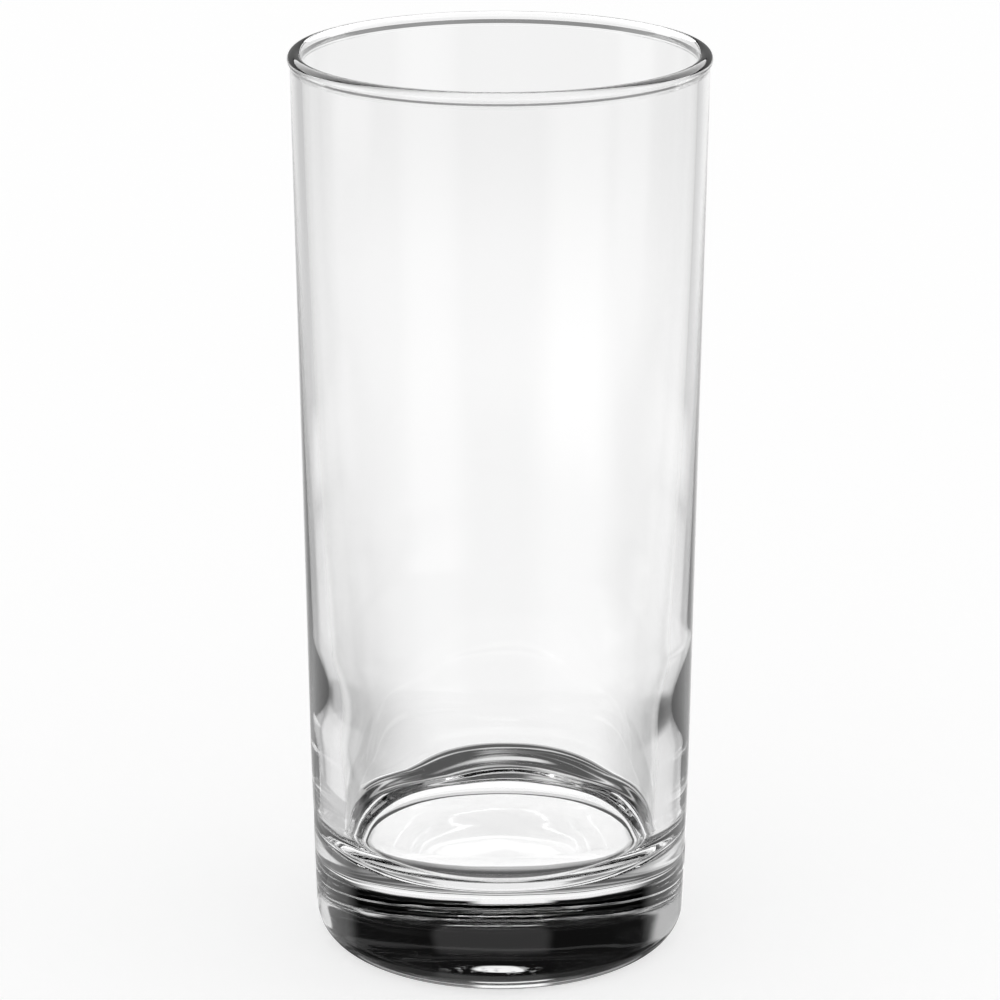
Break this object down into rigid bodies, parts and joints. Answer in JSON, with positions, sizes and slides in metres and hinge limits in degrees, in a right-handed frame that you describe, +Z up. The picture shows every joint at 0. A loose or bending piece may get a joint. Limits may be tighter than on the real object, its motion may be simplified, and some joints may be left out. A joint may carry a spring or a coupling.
{
  "type": "highball glass",
  "caption": "Tall, straight, slightly tapered drinking glass with a rounded rim bead, a wall that thickens downwards, a heavy solid base and a rounded heel.",
  "frame": {"origin": "on the glass's axis, in the plane of the ring that it stands on", "axes": "+Z up along the glass's axis, through the open mouth; the glass is round, so +X and +Y are alike"},
  "size_m": [0.0626, 0.0626, 0.139],
  "materials": {
    "clear_glass": "clear, fire-polished"
  },
  "bodies": {
    "root": {"tumbler": "clear_glass"}
  },
  "joints": []
}
